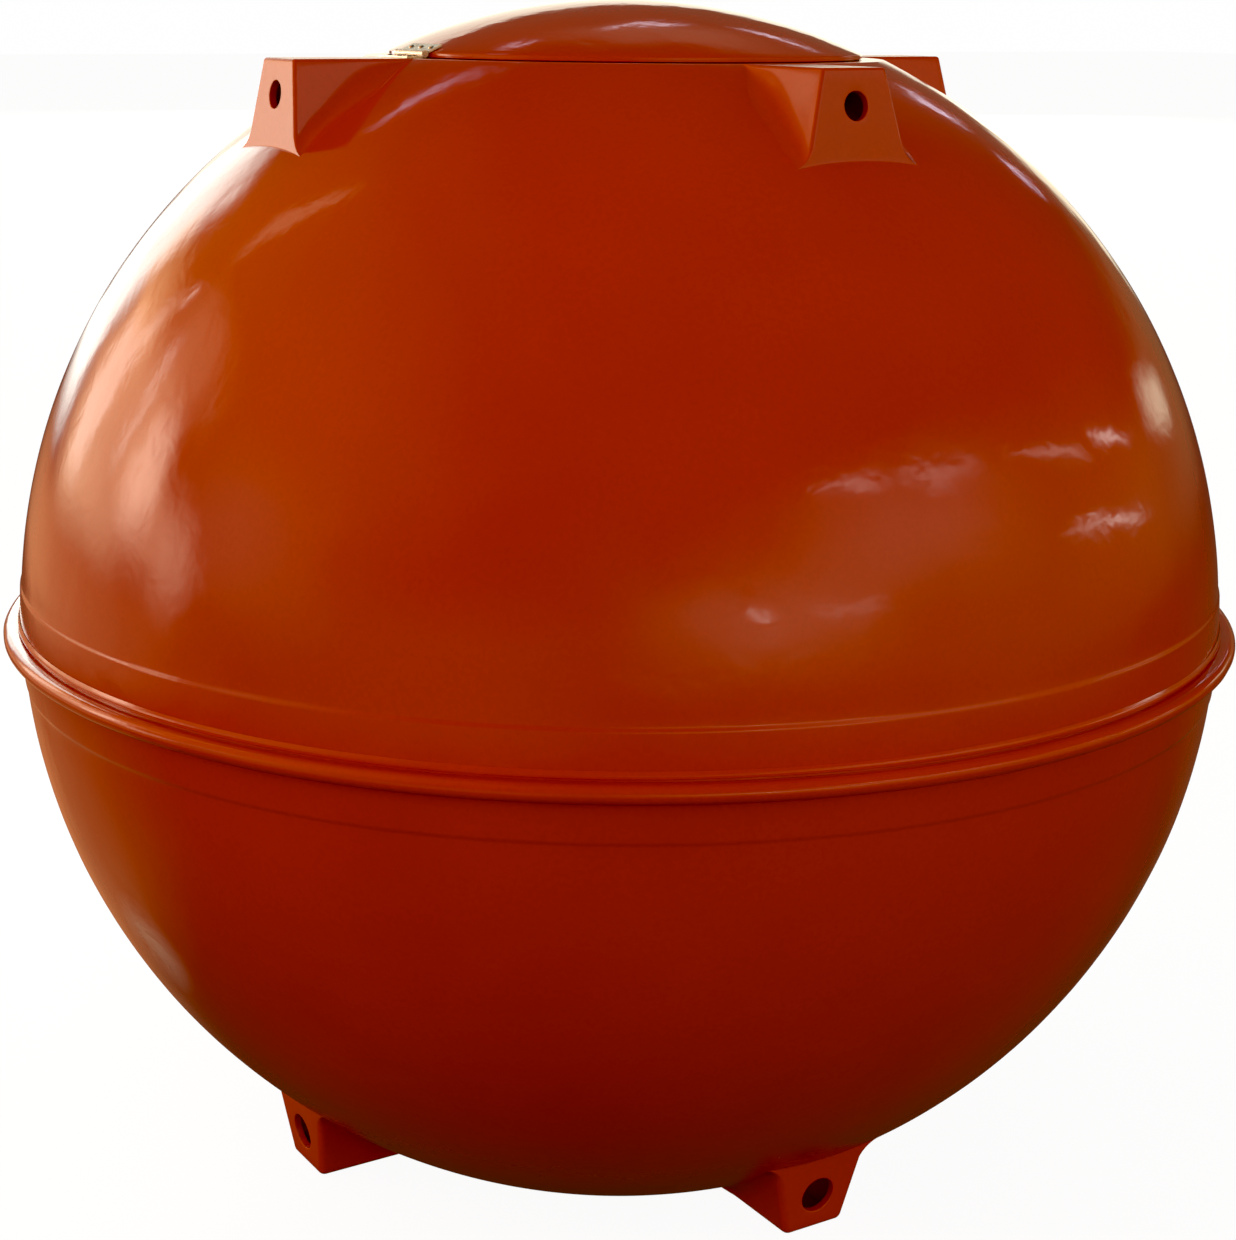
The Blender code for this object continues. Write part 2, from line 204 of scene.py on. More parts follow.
def mottled_material(name, patch_scale, tones, dullness, grain, relief, surface,
                     stretch=(1.0, 1.0, 1.0), strand_colour=None):
    """A material of cloudy tone and dullness with a fine relief, from a coarse and a fine noise.

    With a strand colour, the ridges of the fine noise show in it as tangled strands.
    """
    material, tree = new_material(name)
    place = add(tree, "ShaderNodeTexCoord").outputs["Object"]
    patches = add(
        tree, "ShaderNodeTexNoise", {"Scale": patch_scale, "Detail": 3.0, "Roughness": 0.6},
        {"Vector": place},
    )
    drawn = add(tree, "ShaderNodeMapping", {"Scale": stretch}, {"Vector": place})
    fine = add(tree, "ShaderNodeTexNoise", grain, {"Vector": drawn})
    colour = add(
        tree, "ShaderNodeMix", {"data_type": "RGBA", 6: linear(tones[0]), 7: linear(tones[1])},
        {0: patches},
    ).outputs[2]
    if strand_colour:
        strands = add(tree, "ShaderNodeMapRange", {"From Min": 0.42, "From Max": 0.62}, {"Value": fine})
        colour = add(
            tree, "ShaderNodeMix", {"data_type": "RGBA", 7: linear(strand_colour)},
            {0: strands, 6: colour},
        ).outputs[2]
    rough = add(
        tree, "ShaderNodeMapRange",
        {"From Min": 0.3, "From Max": 0.7, "To Min": dullness[0], "To Max": dullness[1]},
        {"Value": patches},
    )
    bump = add(tree, "ShaderNodeBump", relief, {"Height": fine})
    shader = add(
        tree, "ShaderNodeBsdfPrincipled", surface,
        {"Base Color": colour, "Roughness": rough, "Normal": bump},
    )
    add(tree, "ShaderNodeOutputMaterial", None, {"Surface": shader})
    return material


# The glare spot sits low on the shell's left side, where a pale patch is painted in as a reflection of
# glare.
GELCOAT = polyester_gelcoat(
    "polyester_gelcoat_shell", 0.0019, 0.08, 0.13, glare_spot=(-0.7254, -0.0891, 0.4016),
)
# Inside of a moulding: chopped strand glass mat in polyester, rolled by hand and left bare. Dull
# amber with pale tangled strands and an uneven resin surface.
LAMINATE = mottled_material(
    "bare_glass_laminate", 8.0, ("#8E7A4C", "#A8935F"), (0.42, 0.66),
    grain={"Scale": 70.0, "Detail": 4.0, "Roughness": 0.75, "Distortion": 3.0},
    relief={"Strength": 0.6, "Distance": 0.0008}, surface={"IOR": 1.53}, strand_colour="#CDBF94",
)


def new_node_tree(name, sockets):
    """A Geometry Nodes tree with a geometry input and output and these further inputs."""
    tree = bpy.data.node_groups.new(name, "GeometryNodeTree")
    tree.interface.new_socket("Geometry", in_out="INPUT", socket_type="NodeSocketGeometry")
    for label, kind, value in sockets:
        socket = tree.interface.new_socket(label, in_out="INPUT", socket_type="NodeSocket" + kind)
        if value is not None:
            socket.default_value = value
    tree.interface.new_socket("Geometry", in_out="OUTPUT", socket_type="NodeSocketGeometry")
    return tree


def end_tree(tree, given, shapes):
    """Ends a tree with the instances made real and the given material on them."""
    real = add(tree, "GeometryNodeRealizeInstances", None, {"Geometry": shapes})
    finish = add(
        tree, "GeometryNodeSetMaterial", None, {"Geometry": real, "Material": given["Material"]},
    )
    add(tree, "NodeGroupOutput", None, {0: finish})
    return tree


def wave_tree():
    """Moves a laid-up surface in and out along the sphere's radius by smooth noise.

    It fades out towards the fade height, so that the moulded flats and lug tops stay flat.
    """
    tree = new_node_tree("hand_laid_waves", [
        ("Depth", "Float", WAVE_DEPTH), ("Size", "Float", WAVE_SIZE),
        ("Fade Height", "Float", FADE_HEIGHT), ("Seed", "Float", WAVE_SEED),
    ])
    given = add(tree, "NodeGroupInput").outputs
    point = add(tree, "GeometryNodeInputPosition")
    centre = add(tree, "ShaderNodeVectorMath", {"operation": "SUBTRACT", 1: TANK_CENTRE}, {0: point})
    outward = add(tree, "ShaderNodeVectorMath", {"operation": "NORMALIZE"}, {0: centre})
    scale = add(tree, "ShaderNodeMath", {"operation": "DIVIDE", 0: 1.0}, {1: given["Size"]})
    noise = add(
        tree, "ShaderNodeTexNoise", {"noise_dimensions": "4D", "Detail": 2.0, "Roughness": 0.6},
        {"Vector": point, "W": given["Seed"], "Scale": scale},
    )
    signed = add(tree, "ShaderNodeMath", {"operation": "SUBTRACT", 1: 0.5}, {0: noise})
    deep = add(tree, "ShaderNodeMath", {"operation": "MULTIPLY"}, {0: signed, 1: given["Depth"]})
    parts = add(tree, "ShaderNodeSeparateXYZ", None, {0: centre})
    height = add(tree, "ShaderNodeMath", {"operation": "ABSOLUTE"}, {0: parts.outputs["Z"]})
    end = given["Fade Height"]
    start = add(tree, "ShaderNodeMath", {"operation": "SUBTRACT", 1: FADE_SPAN}, {0: end})
    fade = add(
        tree, "ShaderNodeMapRange", {"interpolation_type": "SMOOTHSTEP", "To Min": 1.0, "To Max": 0.0},
        {"Value": height, "From Min": start, "From Max": end},
    )
    amount = add(tree, "ShaderNodeMath", {"operation": "MULTIPLY"}, {0: deep, 1: fade})
    offset = add(tree, "ShaderNodeVectorMath", {"operation": "SCALE"}, {0: outward, "Scale": amount})
    moved = add(tree, "GeometryNodeSetPosition", None, {"Geometry": given["Geometry"], "Offset": offset})
    add(tree, "NodeGroupOutput", None, {0: moved})
    return tree


def turning_tree(waves):
    """Sweeps a half section, drawn in the XZ plane, round the tank's upright axis."""
    tree = new_node_tree("turned_moulding", [
        ("Segments", "Int", SHELL_SEGMENTS), ("Guide Radius", "Float", GUIDE_RADIUS),
        ("Wave Depth", "Float", WAVE_DEPTH), ("Wave Size", "Float", WAVE_SIZE),
        ("Fade Height", "Float", FADE_HEIGHT), ("Seed", "Float", WAVE_SEED),
        ("Material", "Material", None),
    ])
    given = add(tree, "NodeGroupInput").outputs
    guide_radius = given["Guide Radius"]
    guide = add(
        tree, "GeometryNodeCurvePrimitiveCircle", None,
        {"Resolution": given["Segments"], "Radius": guide_radius},
    )
    back = add(tree, "ShaderNodeMath", {"operation": "MULTIPLY", 1: -1.0}, {0: guide_radius})
    shift = add(tree, "ShaderNodeCombineXYZ", None, {"X": back})
    section = add(tree, "GeometryNodeMeshToCurve", None, {0: given["Geometry"]})
    laid = add(
        tree, "GeometryNodeTransform", {"Rotation": (pi / 2, 0.0, 0.0)},
        {"Geometry": section, "Translation": shift},
    )
    swept = add(tree, "GeometryNodeCurveToMesh", None, {"Curve": guide, "Profile Curve": laid})
    merged = add(tree, "GeometryNodeMergeByDistance", {"Distance": SWEEP_WELD}, {"Geometry": swept})
    smooth = add(tree, "GeometryNodeSetShadeSmooth", None, {"Geometry": merged})
    wavy = add(tree, "GeometryNodeGroup", {"node_tree": waves}, {
        "Geometry": smooth, "Depth": given["Wave Depth"], "Size": given["Wave Size"],
        "Fade Height": given["Fade Height"], "Seed": given["Seed"],
    })
    return end_tree(tree, given, wavy)


WAVES = wave_tree()
TURNING = turning_tree(WAVES)


def run_tree(item, tree, values):
    """Adds a Geometry Nodes modifier and sets its inputs by their sockets' identifiers."""
    modifier = item.modifiers.new(tree.name, "NODES")
    modifier.node_group = tree
    for socket in tree.interface.items_tree:
        if socket.in_out == "INPUT" and socket.name in values:
            modifier[socket.identifier] = values[socket.name]


def as_piece(source, name, sharp_degrees=40.0):
    """Turns an evaluated object into a plain closed mesh at the origin with outward faces."""
    bpy.context.view_layer.update()
    depsgraph = bpy.context.evaluated_depsgraph_get()
    mesh = bpy.data.meshes.new_from_object(source.evaluated_get(depsgraph))
    bpy.data.objects.remove(source)
    shape = bmesh.new()
    shape.from_mesh(mesh)
    bmesh.ops.remove_doubles(shape, verts=shape.verts, dist=WELD)
    bmesh.ops.dissolve_degenerate(shape, edges=shape.edges, dist=SLIVER)
    if shape.calc_volume(signed=True) < 0:
        bmesh.ops.reverse_faces(shape, faces=shape.faces)
    shape.to_mesh(mesh)
    shape.free()
    mesh.name = name
    mesh.shade_smooth()
    mesh.set_sharp_from_angle(angle=radians(sharp_degrees))
    return put_in(name, mesh)


def as_object(shape, name, material=None):
    """Puts a bmesh in the scene as an object."""
    mesh = bpy.data.meshes.new(name)
    shape.to_mesh(mesh)
    shape.free()
    if material:
        mesh.materials.append(material)
    return put_in(name, mesh)


def cut_out(item, cutter, name, sharp_degrees):
    """The piece that is left of an object when the cutter's shape is taken out of it."""
    cut = item.modifiers.new("cut", "BOOLEAN")
    cut.operation = "DIFFERENCE"
    cut.solver = "EXACT"
    cut.object = cutter
    piece = as_piece(item, name, sharp_degrees)
    bpy.data.objects.remove(cutter)
    return piece


def rounded(corners, closed=True):
    """A section's outline: (radius, height, bend) corners, each rounded to its bend radius."""
    points = []
    count = len(corners)
    for index, (radius, height, bend) in enumerate(corners):
        here = Vector((radius, height))
        if bend == 0.0 or (not closed and index in (0, count - 1)):
            points.append(here)
            continue
        before = (Vector(corners[index - 1][:2]) - here).normalized()
        after = (Vector(corners[(index + 1) % count][:2]) - here).normalized()
        half = before.angle(after) / 2
        reach = bend / tan(half)
        middle = here + (before + after).normalized() * (bend / sin(half))
        first = here + before * reach - middle
        turn = first.angle_signed(here + after * reach - middle)
        steps = max(2, round(abs(turn) / FACET))
        for step in range(steps + 1):
            angle = -turn * step / steps
            points.append(middle + Matrix.Rotation(angle, 2) @ first)
    return points


def sphere_run(radius, high, low, rows):
    """Section corners along the sphere from one height above the joint down to another."""
    first = asin(high / radius)
    last = asin(low / radius)
    run = []
    for row in range(rows + 1):
        angle = first + (last - first) * row / rows
        run.append((radius * cos(angle), radius * sin(angle), 0.0))
    return run


def turned(name, corners, material, side=1, closed=True, segments=SHELL_SEGMENTS, depth=WAVE_DEPTH,
           size=WAVE_SIZE, fade=FADE_HEIGHT):
    """A moulding turned from a half section whose heights are above the joint, or below for side -1."""
    mesh = bpy.data.meshes.new(name + "_section")
    points = rounded(corners, closed)
    edges = [(index, index + 1) for index in range(len(points) - 1)]
    if closed:
        edges.append((len(points) - 1, 0))
    mesh.from_pydata([(r, 0.0, JOINT_HEIGHT + side * z) for r, z in points], edges, [])
    item = put_in(name + "_section", mesh)
    run_tree(item, TURNING, {
        "Segments": segments, "Wave Depth": depth, "Wave Size": size, "Fade Height": fade,
        "Material": material,
    })
    return as_piece(item, name)


def line_inside(piece, material):
    """Gives the faces that look inwards the second material."""
    piece.data.materials.append(material)
    for face in piece.data.polygons:
        if face.normal.dot(face.center - TANK_CENTRE) < 0.0:
            face.material_index = 1


def shell_section(flat_height, pole_side):
    """Half section of a shell from its flat, out over the sphere, down the band and back inside."""
    flat_radius = sqrt(SHELL_RADIUS**2 - flat_height**2)
    inner_radius = SHELL_RADIUS - SHELL_WALL
    outer = sphere_run(SHELL_RADIUS, flat_height, BAND_TOP + BAND_CHAMFER, SHELL_ROWS)
    outer[0] = (flat_radius, flat_height, FLAT_EDGE)
    outer[-1] = (*outer[-1][:2], BAND_COVE)
    inner = sphere_run(inner_radius, BAND_TOP, flat_height - SHELL_WALL, SHELL_ROWS // 2)
    band = [
        (BAND_TOP_RADIUS, BAND_TOP, BAND_SHOULDER), (BAND_RADIUS, BAND_UPRIGHT, 0.0),
        (BAND_RADIUS, HALF_SEAM, 0.0), (BAND_RADIUS - SHELL_WALL, HALF_SEAM, 0.0),
        (BAND_RADIUS - SHELL_WALL, BAND_TOP - INNER_STEP, 0.002),
    ]
    return (
        [(pole_side, flat_height, 0.0)] + outer + band + inner
        + [(pole_side, flat_height - SHELL_WALL, 0.0)]
    )


upper_half = turned("upper_half_moulding", shell_section(FLAT_HEIGHT, SEAT_SEAM_RADIUS), GELCOAT)
lower_half = turned(
    "lower_half_moulding", shell_section(FLAT_HEIGHT - BOTTOM_CLEARANCE, 0.0), GELCOAT,
    side=-1, closed=False,
)
for half, node in ((upper_half, "upper_shell"), (lower_half, "lower_shell")):
    line_inside(half, LAMINATE)
    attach(half, "tank")
    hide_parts(node)

# Manhole seat
# The moulded flat runs in under the lid as far as the manhole's trimmed edge, which is sealed
# with resin. It is one with the upper half, and it carries the lid's seal.
MANHOLE_RADIUS = 0.275
seat_under = FLAT_HEIGHT - SHELL_WALL
seat = turned("manhole_seat", [
    (SEAT_SEAM_RADIUS, FLAT_HEIGHT, 0.0), (SEAT_SEAM_RADIUS, seat_under, 0.0),
    (MANHOLE_RADIUS, seat_under, 0.0022), (MANHOLE_RADIUS, FLAT_HEIGHT, 0.0022),
], GELCOAT, segments=160)
line_inside(seat, LAMINATE)
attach(seat, "tank")
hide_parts("manhole_seat_ring")

# Joint of the half shells
# The upper half's trimmed edge is a thin lip. Under it runs a bead of glass and gelcoat, rolled
# by hand over the bonded flanges, so it wanders a little. Inside, a strip of wet laminate
# seals the joint.
LIP_BOTTOM = 0.0112
LIP_TOP = 0.0200
LIP_RADIUS = 0.8050
BEAD_RADIUS = 0.0110
BEAD_CENTRE_RADIUS = 0.8123
BEAD_CENTRE_HEIGHT = -0.0026
STRIP_WALL = 0.004
STRIP_HEIGHT = 0.045
back_radius = BAND_RADIUS + 0.0001
lip = turned("joint_lip_edge", [
    (back_radius, LIP_TOP, 0.0), (LIP_RADIUS - 0.0009, LIP_TOP - 0.0030, 0.0012),
    (LIP_RADIUS, LIP_TOP - 0.0052, 0.0012), (LIP_RADIUS, LIP_BOTTOM, 0.0013),
    (back_radius, LIP_BOTTOM, 0.0),
], GELCOAT, segments=320)
bead_top = BEAD_CENTRE_HEIGHT + BEAD_RADIUS
bead_bottom = BEAD_CENTRE_HEIGHT - BEAD_RADIUS
bead_front = BEAD_CENTRE_RADIUS + BEAD_RADIUS
bead = turned("joint_rolled_bead", [
    (back_radius, bead_top, 0.0), (bead_front, bead_top, 0.0108),
    (bead_front, bead_bottom, 0.0108), (back_radius, bead_bottom, 0.0),
], GELCOAT, segments=320, depth=0.0030, size=0.14)
strip_radius = BAND_RADIUS - SHELL_WALL - 0.0002
strip = turned("inner_bonding_strip", [
    (strip_radius, STRIP_HEIGHT, 0.0), (strip_radius, -STRIP_HEIGHT, 0.0),
    (strip_radius - STRIP_WALL, STRIP_WALL - STRIP_HEIGHT, 0.003),
    (strip_radius - STRIP_WALL, STRIP_HEIGHT - STRIP_WALL, 0.003),
], LAMINATE, segments=160)
for piece, node, slot in (
    (lip, "upper_joint_lip", "gelcoat"), (bead, "joint_bead", "gelcoat"),
    (strip, "inner_joint_strip", "laminate"),
):
    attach(piece, "tank")
    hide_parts(node)

# Lifting lugs and feet
# Hollow boxes moulded in one with each half, 8 mm thick: drafted flat faces, small edge radii,
# and a wide soft fillet where the side walls run out into the sphere, which the flat outer face
# cuts off in two pointed toes. A round hole is bored through each outer face.
LUG_WALL = 0.008
LUG_HALF_WIDTH = 0.0443
LUG_SIDE_DRAFT = 0.25
LUG_FACE_RADIUS = 0.488
LUG_FACE_DRAFT = 0.126
LUG_START = 0.3290  # the walls rise out of the flat's edge here
LUG_SIDE_FILLET = 0.032  # at the outer face; it widens along the wall
LUG_INNER_FILLET = 0.070
LUG_FACE_FILLET = 0.0035
LUG_COLUMNS = 16  # along a side wall
CORNER_COLUMNS = 6
FACE_COLUMNS = 10  # across half of the outer face
EDGE_ROWS = 5
WALL_ROWS = 7
FILLET_ROWS = 8
TUCK = 0.0005  # the fillets end this far under the shell's surface
SUNK = 0.0025  # and a wall that hasn't yet risen out of it, this far
LEAST_WALL = 0.0006
FILLET_TAIL = 0.003  # how far the last step of a side fillet runs on under the surface
CORNER_TAIL = 0.001  # the same at a corner, out and down
FACE_TAIL = (0.002, 0.0016)  # and under the outer face
SHARP = 0.0006  # the corner's radius at the toe, where it runs out
LEAST_CORNER = 0.0005  # and at the top, inside its rounded edge
CORNER_ROOM = 0.004  # between the last column of a side wall and the corner
CROWDING = 1.25  # over 1, a side wall's columns stand closer at its inner end
EDGE_SHARE = 0.35  # the most of a low wall that its rounded edge may take
WIDEST_FILLET = 0.4
HALVINGS = 24  # in the search for the widest fillet that a wall has room for
ROUNDS = 4  # of working out where a drafted face meets the sphere
HOLE_FACETS = 64
HOLE_DEPTH = 0.030  # the bit's reach behind the outer face
HOLE_CLEAR = 0.012  # and before it

STIFF_GELCOAT = polyester_gelcoat("polyester_gelcoat_lugs", 0.0006, 0.17, 0.24)


def fillet_at(offset, draft, top, section_radius, bend):
    """The arc between a drafted wall and the shell: its centre and both touching points.

    Works in a plane across the lug, with the wall at offset when it starts from the top.
    """
    norm = hypot(1.0, draft)
    wall_distance = (offset + draft * top) / norm + bend
    along = sqrt((section_radius + bend) ** 2 - wall_distance**2)
    centre = Vector((
        (wall_distance - draft * along) / norm,
        (wall_distance * draft + along) / norm,
    ))
    on_wall = centre - Vector((1.0, draft)) * (bend / norm)
    on_shell = centre * (section_radius / (section_radius + bend))
    return centre, on_wall, on_shell


def arc_points(centre, on_wall, on_shell, bend, rows):
    """Points down the fillet's arc from the wall to the shell."""
    if bend == 0.0:
        return [on_wall.copy() for _ in range(rows)]
    first = atan2(*(on_wall - centre).yx) % tau
    last = atan2(*(on_shell - centre).yx) % tau
    points = []
    for row in range(1, rows + 1):
        angle = first + (last - first) * row / rows
        points.append(centre + Vector((cos(angle), sin(angle))) * bend)
    return points


def edge_turn(edge):
    """(inset, drop) pairs over the rounded top edge, from the flat top to the wall."""
    turn = []
    for row in range(EDGE_ROWS + 1):
        angle = pi / 2 * row / EDGE_ROWS
        turn.append((edge * (1 - sin(angle)), edge * (1 - cos(angle))))
    return turn


def side_column(w, half_width, face, top, edge, bend):
    """One column over the top and down a side wall at distance w from the tank's axis.

    On the top it starts from the middle line, which stops short of the outer face.
    """
    section = sqrt(SHELL_RADIUS**2 - w**2)
    _, crossing, _ = fillet_at(half_width, LUG_SIDE_DRAFT, top, section, 0.0)
    wall = top - crossing.y
    column = [(0.0, min(w, face - half_width), top)]
    if wall < LEAST_WALL:
        rows = EDGE_ROWS + WALL_ROWS + FILLET_ROWS + 1
        return column + [(half_width, w, top - SUNK * (row / rows)) for row in range(rows + 1)]
    edge = min(edge, EDGE_SHARE * wall)
    room, too_wide = 0.0, WIDEST_FILLET
    for _ in range(HALVINGS):
        middle = (room + too_wide) / 2
        fits = fillet_at(half_width, LUG_SIDE_DRAFT, top, section, middle)[1].y < top - 1.1 * edge
        room, too_wide = (middle, too_wide) if fits else (room, middle)
    bend = bend * room / (bend**3 + room**3) ** (1 / 3)
    centre, on_wall, on_shell = fillet_at(half_width, LUG_SIDE_DRAFT, top, section, bend)
    for inset, drop in edge_turn(edge):
        column.append((half_width + LUG_SIDE_DRAFT * drop - inset, w, top - drop))
    for row in range(1, WALL_ROWS + 1):
        height = top - edge + (on_wall.y - top + edge) * row / WALL_ROWS
        column.append((half_width + LUG_SIDE_DRAFT * (top - height), w, height))
    for point in arc_points(centre, on_wall, on_shell, bend, FILLET_ROWS):
        column.append((point.x, w, point.y))
    tucked = Matrix.Rotation(-FILLET_TAIL / section, 2) @ on_shell * (1 - TUCK / section)
    column.append((tucked.x, w, tucked.y))
    return column


def end_columns(half_width, face, top, edge, corner, bend, face_bend):
    """Columns round the upright corner and across half of the outer face, to its middle.

    Each starts from the end of the top's middle line. Across is the share of the half face that
    a column stands at, and out is the direction in which it leaves the rounded corner.
    """
    reach = face
    for _ in range(ROUNDS):
        section = sqrt(SHELL_RADIUS**2 - reach**2)
        centre, on_wall, on_shell = fillet_at(half_width, LUG_SIDE_DRAFT, top, section, bend)
        reach = face + LUG_FACE_DRAFT * (top - on_shell.y)

    def half_at(height):
        if height >= on_wall.y:
            return half_width + LUG_SIDE_DRAFT * (top - height)
        height = max(height, on_shell.y)
        return centre.x - sqrt(max(0.0, bend**2 - (height - centre.y) ** 2))

    def corner_at(height):
        share = (on_wall.y - height) / max(1e-6, on_wall.y - on_shell.y)
        return corner + (SHARP - corner) * min(1.0, max(0.0, share))

    def wall_point(height, across, out):
        small = corner_at(height)
        return (
            across * (half_at(height) - small) + small * out.x,
            face + LUG_FACE_DRAFT * (top - height) - small + small * out.y, height,
        )

    def upper_column(across, out):
        column = [(0.0, face - half_width, top)]
        for inset, drop in edge_turn(edge):
            small = max(corner - inset, LEAST_CORNER)
            column.append((
                across * (half_width + LUG_SIDE_DRAFT * drop - inset - small) + small * out.x,
                face + LUG_FACE_DRAFT * drop - inset - small + small * out.y, top - drop,
            ))
        for row in range(1, WALL_ROWS + 1):
            height = top - edge + (on_wall.y - top + edge) * row / WALL_ROWS
            column.append(wall_point(height, across, out))
        return column

    arc = arc_points(centre, on_wall, on_shell, bend, FILLET_ROWS)
    columns = []
    for step in range(CORNER_COLUMNS + 1):
        angle = pi / 2 * step / CORNER_COLUMNS
        out = Vector((cos(angle), sin(angle)))
        column = upper_column(1.0, out) + [wall_point(point.y, 1.0, out) for point in arc]
        toe = Vector(column[-1])
        toe = toe * ((SHELL_RADIUS - TUCK) / toe.length)
        column.append((toe.x + CORNER_TAIL * out.x, toe.y + CORNER_TAIL * out.y, toe.z - CORNER_TAIL))
        columns.append(column)
    out = Vector((0.0, 1.0))
    for step in range(1, FACE_COLUMNS + 1):
        across = 0.0 if step == FACE_COLUMNS else cos(pi / 2 * step / FACE_COLUMNS)
        column = upper_column(across, out)
        small_bend = face_bend * (1 - across**4)
        beside = across * half_at(on_wall.y)
        for _ in range(ROUNDS):
            section = sqrt(SHELL_RADIUS**2 - beside**2)
            low = fillet_at(face, LUG_FACE_DRAFT, top, section, small_bend)
            beside = across * (half_at(low[1].y) - corner_at(low[1].y))
        half_rows = FILLET_ROWS // 2
        for row in range(1, half_rows + 1):
            height = on_wall.y + (low[1].y - on_wall.y) * row / half_rows
            column.append(wall_point(height, across, out))
        for point in arc_points(*low, small_bend, FILLET_ROWS - half_rows):
            column.append((across * (half_at(point.y) - corner_at(point.y)), point.x, point.y))
        last = Vector(column[-1])
        last = last * ((SHELL_RADIUS - TUCK) / last.length)
        column.append((last.x, last.y + FACE_TAIL[0], last.z - FACE_TAIL[1]))
        columns.append(column)
    return columns


def lug_columns(inset, edge, corner, bend, inner_bend, face_bend, start):
    """All columns round a lug, from the inner end of one side wall to that of the other."""
    half_width = LUG_HALF_WIDTH - inset
    face = LUG_FACE_RADIUS - inset
    top = FLAT_HEIGHT - inset
    end = face - corner - CORNER_ROOM
    columns = []
    for step in range(LUG_COLUMNS + 1):
        w = start + (end - start) * (step / LUG_COLUMNS) ** CROWDING
        inwards = (end - w) / (end - start)
        wide = bend + (inner_bend - bend) * inwards * inwards * (3 - 2 * inwards)
        columns.append(side_column(w, half_width, face, top, edge, wide))
    columns += end_columns(half_width, face, top, edge, corner, bend, face_bend)
    mirrored = [[(-u, w, h) for u, w, h in column] for column in columns[-2::-1]]
    return columns + mirrored


def lug_block(name, side, edge, corner):
    """The hollow box of a lug, or of a foot for side -1, at the front of the tank."""
    outer = lug_columns(0.0, edge, corner, LUG_SIDE_FILLET, LUG_INNER_FILLET, LUG_FACE_FILLET, LUG_START)
    inner = lug_columns(
        LUG_WALL, edge=0.001, corner=0.002, bend=0.004, inner_bend=0.004, face_bend=0.002, start=0.3485,
    )
    shape = bmesh.new()
    grids = []
    for columns in (outer, inner):
        grids.append([
            [shape.verts.new((u, -w, JOINT_HEIGHT + side * h)) for u, w, h in column]
            for column in columns
        ])
    count, rows = len(outer), len(outer[0])
    for grid in grids:
        for j in range(count - 1):
            for k in range(rows - 1):
                quad = [grid[j][k], grid[j][k + 1], grid[j + 1][k + 1], grid[j + 1][k]]
                shape.faces.new(quad if grid is grids[0] else quad[::-1])
    first, second = grids
    for j in range(count - 1):
        shape.faces.new([first[j][-1], second[j][-1], second[j + 1][-1], first[j + 1][-1]])
    for j, turn in ((0, 1), (count - 1, -1)):
        for k in range(rows - 1):
            quad = [first[j][k], second[j][k], second[j][k + 1], first[j][k + 1]]
            shape.faces.new(quad[::turn])
    bmesh.ops.remove_doubles(shape, verts=shape.verts, dist=WELD)
    bmesh.ops.dissolve_degenerate(shape, edges=shape.edges, dist=SLIVER)
    bmesh.ops.recalc_face_normals(shape, faces=shape.faces)
    return as_object(shape, name, STIFF_GELCOAT)


def hole_cutter(name, side, radius, drop, lip):
    """A bit for the hole in the outer face, square to it and flared where it breaks out."""
    shape = bmesh.new()
    rings = [(0.0, -HOLE_DEPTH), (radius, -HOLE_DEPTH)]
    for step in range(EDGE_ROWS + 1):
        angle = pi / 2 * step / EDGE_ROWS
        rings.append((radius + lip * (1 - cos(angle)), -lip * (1 - sin(angle))))
    rings += [(radius + lip * 1.05, HOLE_CLEAR), (0.0, HOLE_CLEAR)]
    for r, along in rings:
        shape.verts.new((r, along, 0.0))
    shape.verts.ensure_lookup_table()
    for index in range(len(rings) - 1):
        shape.edges.new((shape.verts[index], shape.verts[index + 1]))
    bmesh.ops.spin(
        shape, geom=shape.verts[:] + shape.edges[:], cent=(0, 0, 0), axis=(0, 1, 0),
        angle=tau, steps=HOLE_FACETS, use_merge=True, use_duplicate=False,
    )
    bmesh.ops.remove_doubles(shape, verts=shape.verts, dist=WELD)
    bmesh.ops.recalc_face_normals(shape, faces=shape.faces)
    tilt = Matrix.Rotation(-side * atan(LUG_FACE_DRAFT), 4, "X")
    flip = Matrix.Rotation(pi, 4, "Z")
    reach = LUG_FACE_RADIUS + LUG_FACE_DRAFT * drop
    place = Matrix.Translation((0.0, -reach, JOINT_HEIGHT + side * (FLAT_HEIGHT - drop)))
    bmesh.ops.transform(shape, matrix=place @ tilt @ flip, verts=shape.verts)
    return as_object(shape, name, STIFF_GELCOAT)


def make_boxes(prefix, side, edge, corner, hole_radius, hole_drop, hole_lip):
    """Four lugs or feet: one block, bored, then laid round the tank and given the shell's waves."""
    block = lug_block(prefix + "_block", side, edge, corner)
    cutter = hole_cutter(prefix + "_bit", side, hole_radius, hole_drop, hole_lip)
    bored = cut_out(block, cutter, prefix + "_bored", 60.0)
    for index, direction in enumerate(("front", "right", "back", "left")):
        mesh = bored.data.copy()
        mesh.transform(Matrix.Rotation(index * pi / 2, 4, "Z"))
        item = put_in(prefix + "_" + direction, mesh)
        run_tree(item, WAVES, {"Depth": WAVE_DEPTH, "Size": WAVE_SIZE})
        kind = "lug" if side > 0 else "foot"
        piece = as_piece(item, f"moulded_{kind}_{direction}", 60.0)
        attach(piece, "tank")
        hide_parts(f"{kind}_{direction}")
    bpy.data.objects.remove(bored)


make_boxes(
    "lifting", 1, edge=0.0035, corner=0.0045, hole_radius=0.0165, hole_drop=0.042, hole_lip=0.0010,
)

# Feet
# The same boxes on the lower half, upside down. Their edges are worn rounder and their holes are
# larger, for an anchor rod or a rope.
make_boxes(
    "standing", -1, edge=0.0075, corner=0.0090, hole_radius=0.0240, hole_drop=0.049, hole_lip=0.0014,
)

